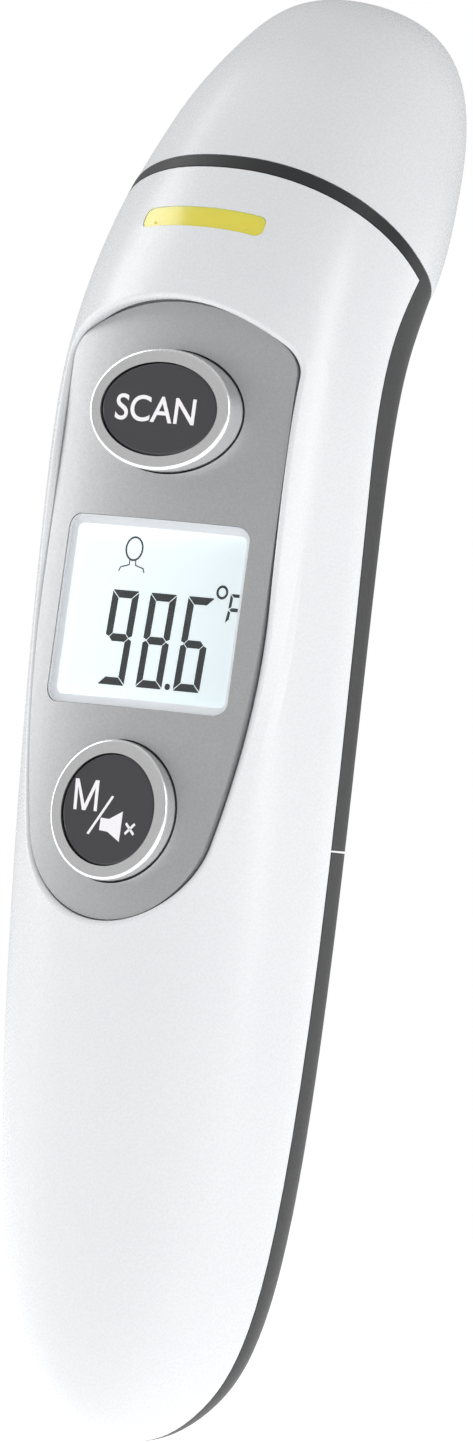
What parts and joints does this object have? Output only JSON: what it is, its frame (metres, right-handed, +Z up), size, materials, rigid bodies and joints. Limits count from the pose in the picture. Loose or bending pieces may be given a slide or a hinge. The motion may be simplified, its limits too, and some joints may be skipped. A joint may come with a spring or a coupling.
{
  "type": "infrared forehead and ear thermometer",
  "caption": "Handheld infrared thermometer with a slim curved handle, a domed cap over an ear probe, a lit display, an oval scan button, a round mode button and a sliding battery door.",
  "frame": {"origin": "middle of the hand's grip, 44 mm above the butt end and in the plane of symmetry", "axes": "+Z up the handle towards the head, -Y out of the display, +X to the right as the display is read"},
  "size_m": [0.0384, 0.0449, 0.1557],
  "materials": {
    "shell_white": "white ABS, satin gloss",
    "shell_charcoal": "charcoal ABS, fine texture",
    "fascia_grey": "grey metallic-look lacquer on a plastic panel",
    "window_clear": "clear acrylic",
    "bezel_light": "light grey plastic",
    "lcd": "liquid crystal panes",
    "diffuser": "opal light guide",
    "elastomer": "layered elastomer connector",
    "plastic_black": "black moulded plastic",
    "lens_yellow": "yellow translucent acrylic",
    "board_green": "solder-masked glass fibre board",
    "chip_black": "moulded package",
    "lamp": "LED package",
    "ring_silver": "bright plated plastic",
    "key_dark": "dark grey key",
    "switch": "switch case",
    "steel": "plated steel",
    "magnet": "nickel-plated magnet",
    "cell_wrap": "printed cell sleeve",
    "nickel": "nickel-plated spring strip",
    "wire": "insulated wire",
    "brass": "turned brass",
    "gold": "gold-plated tube",
    "film": "thin infrared film"
  },
  "bodies": {
    "handle": {"front_shell": "shell_white", "rear_shell": "shell_charcoal", "catch_plates": "steel", "fascia_panel": "fascia_grey", "display_window": "window_clear", "lcd_bezel": "bezel_light", "lcd_glass": "lcd", "lcd_backlight": "diffuser", "lcd_connectors": "elastomer", "lcd_holder": "plastic_black", "fever_light_window": "lens_yellow", "light_board": "board_green", "fever_lamps": "lamp", "light_leads": "wire", "scan_switch_body": "switch", "mode_switch_body": "switch", "main_board": "board_green", "board_screws": "steel", "processor": "chip_black", "board_parts": "chip_black", "sounder": "chip_black", "battery_tray": "plastic_black", "tray_screws": "steel", "battery_left": "cell_wrap", "battery_right": "cell_wrap", "lower_contact": "nickel", "upper_plate_contact": "nickel", "upper_spring_contact": "nickel", "power_leads": "wire", "probe_nozzle": "plastic_black", "sensor_block": "brass", "infrared_detector": "nickel", "wave_guide": "gold", "probe_window": "film", "sensor_board": "board_green", "sensor_screws": "steel", "sensor_plug": "bezel_light", "sensor_leads": "wire"},
    "scan_button": {"scan_button_ring": "ring_silver", "scan_button_key": "key_dark", "scan_switch_button": "switch"},
    "mode_button": {"mode_button_ring": "ring_silver", "mode_button_key": "key_dark", "mode_switch_button": "switch"},
    "cap": {"probe_cap": "shell_white", "cap_magnets": "magnet"},
    "door": {"battery_door": "shell_charcoal"}
  },
  "joints": [
    {"name": "scan_press", "type": "slide", "parent": "handle", "child": "scan_button", "axis": [0, 0.9976, -0.0698], "range_m": [0, 0.0004], "stiffness_N_per_m": 600, "springref_m": -0.0015},
    {"name": "mode_press", "type": "slide", "parent": "handle", "child": "mode_button", "axis": [0, 0.9976, -0.0698], "range_m": [0, 0.0004], "stiffness_N_per_m": 600, "springref_m": -0.0015},
    {"name": "cap_off", "type": "slide", "parent": "handle", "child": "cap", "axis": [0, 0.6399, 0.7685], "range_m": [0, 0.04]},
    {"name": "door_off", "type": "slide", "parent": "handle", "child": "door", "axis": [0, 0, -1], "range_m": [0, 0.068]}
  ]
}
